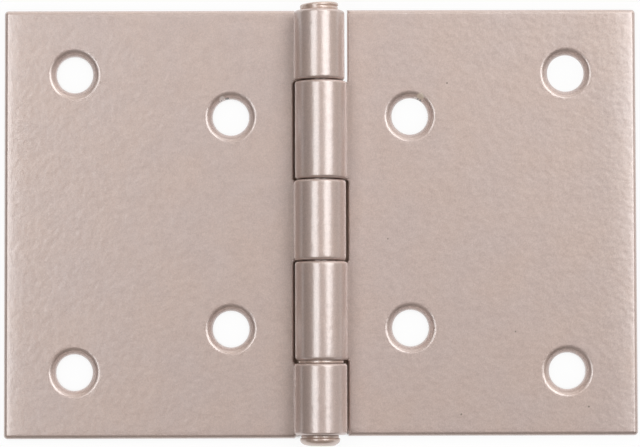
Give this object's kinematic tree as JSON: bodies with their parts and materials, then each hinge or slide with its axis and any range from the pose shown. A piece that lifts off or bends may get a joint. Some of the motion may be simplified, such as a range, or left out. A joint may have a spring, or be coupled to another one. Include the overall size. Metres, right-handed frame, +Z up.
{
  "type": "wide butt hinge",
  "caption": "Wide butt hinge with rolled knuckles, a headed pin and countersunk screw holes in both leaves.",
  "frame": {"origin": "in the plane of the leaves' backs, under the pin's axis, halfway between the ends of the pin's heads", "axes": "+X across the leaves towards the right leaf, +Y along the pin towards the flat button head, +Z up from the leaves' backs towards the barrel"},
  "size_m": [0.0754, 0.0526, 0.0061],
  "materials": {
    "satin_coat": "champagne metallic powder coat with a fine orange peel, on steel sheet",
    "pin_coat": "the same metallic powder coat, on the steel pin"
  },
  "bodies": {
    "left_side": {"left_leaf": "satin_coat", "hinge_pin": "pin_coat"},
    "right_side": {"right_leaf": "satin_coat"}
  },
  "joints": [
    {"name": "leaf_swing", "type": "hinge", "parent": "left_side", "child": "right_side", "pos_m": [0, 0, 0.00305], "axis": [0, -1, 0], "range_deg": [-93, 185]}
  ]
}
